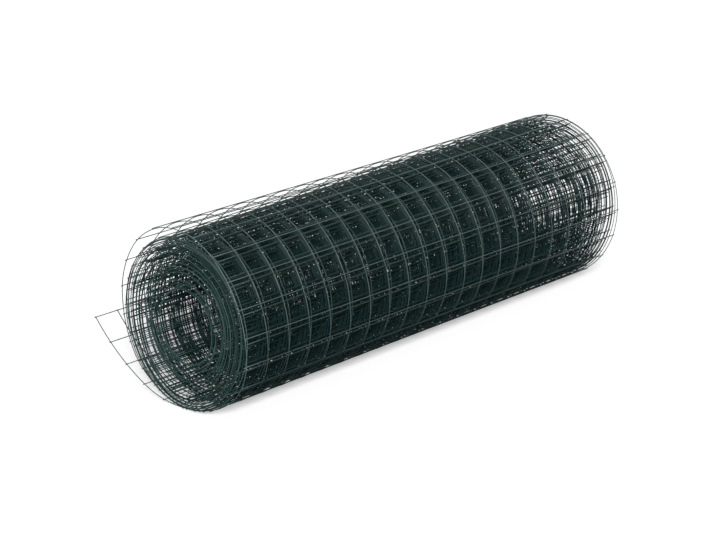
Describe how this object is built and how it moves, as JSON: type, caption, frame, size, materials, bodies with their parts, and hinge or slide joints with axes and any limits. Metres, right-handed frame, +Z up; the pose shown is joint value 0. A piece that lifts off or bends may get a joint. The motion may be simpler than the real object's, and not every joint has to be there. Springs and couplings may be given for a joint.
{
  "type": "roll of wire fencing",
  "caption": "Roll of green plastic-coated welded wire mesh fencing on its side, with an open bore, a loose outer turn over the top and a free end to pull.",
  "frame": {"origin": "middle of the bottom of the bounding box, on the floor that the roll lies on", "axes": "+X along the roll's bore, +Y to the side where the free end stands off, +Z up"},
  "size_m": [0.5, 0.1856, 0.1591],
  "materials": {
    "coated_wire": "steel wire in a dark green plastic coat with a soft gloss"
  },
  "bodies": {
    "root": {"mesh_roll": "coated_wire"}
  },
  "joints": []
}
